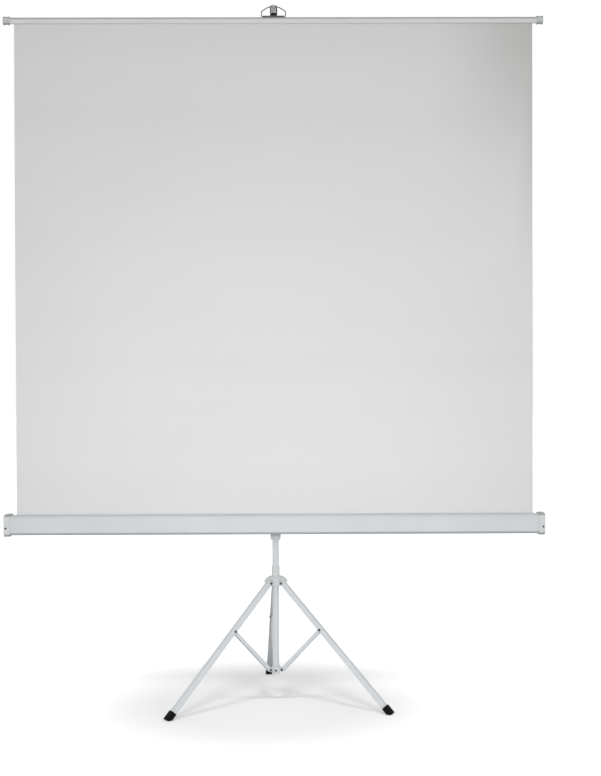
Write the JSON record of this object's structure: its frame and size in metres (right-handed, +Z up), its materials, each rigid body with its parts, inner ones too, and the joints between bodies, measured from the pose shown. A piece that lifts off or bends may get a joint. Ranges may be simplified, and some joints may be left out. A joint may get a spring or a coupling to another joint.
{
  "type": "tripod projection screen",
  "caption": "Portable projection screen: white fabric drawn up from a horizontal spring-roller case, hooked by a wire bail to a telescopic pole on a folding tripod.",
  "frame": {"origin": "on the floor under the middle of the bounding box", "axes": "+Z up, the picture side of the screen faces -Y, +X to the right seen from the front"},
  "size_m": [1.561, 0.5894, 2.0329],
  "materials": {
    "white_paint": "smooth satin white paint",
    "white_plastic": "fine satin white plastic",
    "screen_white": "matt white coated cloth",
    "black_rubber": "matt black rubber",
    "black_plastic": "glossy black plastic",
    "zinc": "bright zinc plate",
    "dark_steel": "dark plated steel"
  },
  "bodies": {
    "mast": {"mast_tube": "white_paint", "mast_top_bush": "white_plastic", "spider_hub": "white_plastic"},
    "pole_lock": {"pole_lock_screw": "black_plastic"},
    "strut_left": {"strut_left": "white_paint", "spider_rivet_left": "dark_steel"},
    "leg_left": {"leg_left": "white_paint", "foot_left": "black_rubber", "crown_rivet_left": "dark_steel", "brace_rivet_left": "dark_steel"},
    "strut_right": {"strut_right": "white_paint", "spider_rivet_right": "dark_steel"},
    "leg_right": {"leg_right": "white_paint", "foot_right": "black_rubber", "crown_rivet_right": "dark_steel", "brace_rivet_right": "dark_steel"},
    "strut_rear": {"strut_rear": "white_paint", "spider_rivet_rear": "dark_steel"},
    "leg_rear": {"leg_rear": "white_paint", "foot_rear": "black_rubber", "crown_rivet_rear": "dark_steel", "brace_rivet_rear": "dark_steel"},
    "crown": {"crown_hub": "white_plastic"},
    "carriage": {"carriage": "white_plastic", "swivel_plate": "white_paint", "swivel_bolt": "dark_steel", "case_shell": "white_paint", "case_cap_left": "white_plastic", "case_cap_right": "white_plastic", "cap_screw_left": "dark_steel", "cap_screw_right": "dark_steel", "spring_arbor": "zinc", "roller_gudgeon": "zinc", "screen_fabric": "screen_white"},
    "carriage_lock": {"carriage_lock_screw": "black_plastic"},
    "roller": {"roller_tube": "zinc", "roller_plug_left": "white_plastic", "roller_plug_right": "white_plastic", "roller_spring": "dark_steel", "fabric_roll": "screen_white"},
    "slat": {"slat_tube": "white_paint", "slat_cap_left": "white_plastic", "slat_cap_right": "white_plastic", "bail_saddle": "zinc"},
    "bail": {"bail_wire": "dark_steel"},
    "pole": {"pole_tube": "white_paint", "pole_foot_plug": "black_plastic", "pole_top_plug": "black_plastic", "pole_hook": "zinc"}
  },
  "joints": [
    {"name": "tripod_fold", "type": "hinge", "parent": "mast", "child": "strut_rear", "pos_m": [-0.00192, -0.05258, 0.096], "axis": [0.9962, 0.0872, 0], "range_deg": [0, 44]},
    {"name": "leg_rear_pivot", "type": "hinge", "parent": "strut_rear", "child": "leg_rear", "pos_m": [-0.01261, 0.06959, 0.223], "axis": [-0.9962, -0.0872, 0], "range_deg": [0, 88]},
    {"name": "crown_rear_pivot", "type": "hinge", "parent": "leg_rear", "child": "crown", "pos_m": [-0.00192, -0.05258, 0.35], "axis": [0.9962, 0.0872, 0], "range_deg": [0, 44]},
    {"name": "strut_left_pivot", "type": "hinge", "parent": "mast", "child": "strut_left", "pos_m": [-0.01802, -0.08712, 0.096], "axis": [-0.5736, 0.8192, 0], "range_deg": [0, 44]},
    {"name": "strut_right_pivot", "type": "hinge", "parent": "mast", "child": "strut_right", "pos_m": [0.01994, -0.0838, 0.096], "axis": [-0.4226, -0.9063, 0], "range_deg": [0, 44]},
    {"name": "leg_left_pivot", "type": "hinge", "parent": "strut_left", "child": "leg_left", "pos_m": [-0.11848, -0.15746, 0.223], "axis": [0.5736, -0.8192, 0], "range_deg": [0, 88]},
    {"name": "leg_right_pivot", "type": "hinge", "parent": "strut_right", "child": "leg_right", "pos_m": [0.13109, -0.13563, 0.223], "axis": [0.4226, 0.9063, 0], "range_deg": [0, 88]},
    {"name": "case_height", "type": "slide", "parent": "mast", "child": "carriage", "axis": [0, 0, 1], "range_m": [0, 0.3]},
    {"name": "mast_extension", "type": "slide", "parent": "carriage", "child": "pole", "axis": [0, 0, 1], "range_m": [-0.75, 0], "deforming": ["screen_fabric"]},
    {"name": "slat_travel", "type": "slide", "parent": "carriage", "child": "slat", "axis": [0, 0, 1], "range_m": [-0.75, 0]},
    {"name": "roller_spin", "type": "hinge", "parent": "carriage", "child": "roller", "pos_m": [0, -0.1237, 0.52725], "axis": [1, 0, 0], "range_deg": [-3412.5, 0]},
    {"name": "bail_swing", "type": "hinge", "parent": "slat", "child": "bail", "pos_m": [0, -0.1105, 1.99665], "axis": [1, 0, 0], "range_deg": [0, 115]},
    {"name": "pole_lock_turn", "type": "hinge", "parent": "mast", "child": "pole_lock", "pos_m": [0, -0.0745, 1.199], "axis": [0, 1, 0], "range_deg": [0, 180]},
    {"name": "carriage_lock_turn", "type": "hinge", "parent": "carriage", "child": "carriage_lock", "pos_m": [0, -0.0745, 0.536], "axis": [0, 1, 0], "range_deg": [0, 180]}
  ],
  "couplings": [
    {"joint": "leg_rear_pivot", "follows": "tripod_fold", "ratio": 2},
    {"joint": "crown_rear_pivot", "follows": "tripod_fold", "ratio": 1},
    {"joint": "leg_left_pivot", "follows": "tripod_fold", "ratio": 2},
    {"joint": "leg_right_pivot", "follows": "tripod_fold", "ratio": 2},
    {"joint": "strut_left_pivot", "follows": "tripod_fold", "ratio": 1},
    {"joint": "strut_right_pivot", "follows": "tripod_fold", "ratio": 1},
    {"joint": "slat_travel", "follows": "mast_extension", "ratio": 1},
    {"joint": "roller_spin", "follows": "mast_extension", "rad_per_m": 79.365}
  ]
}
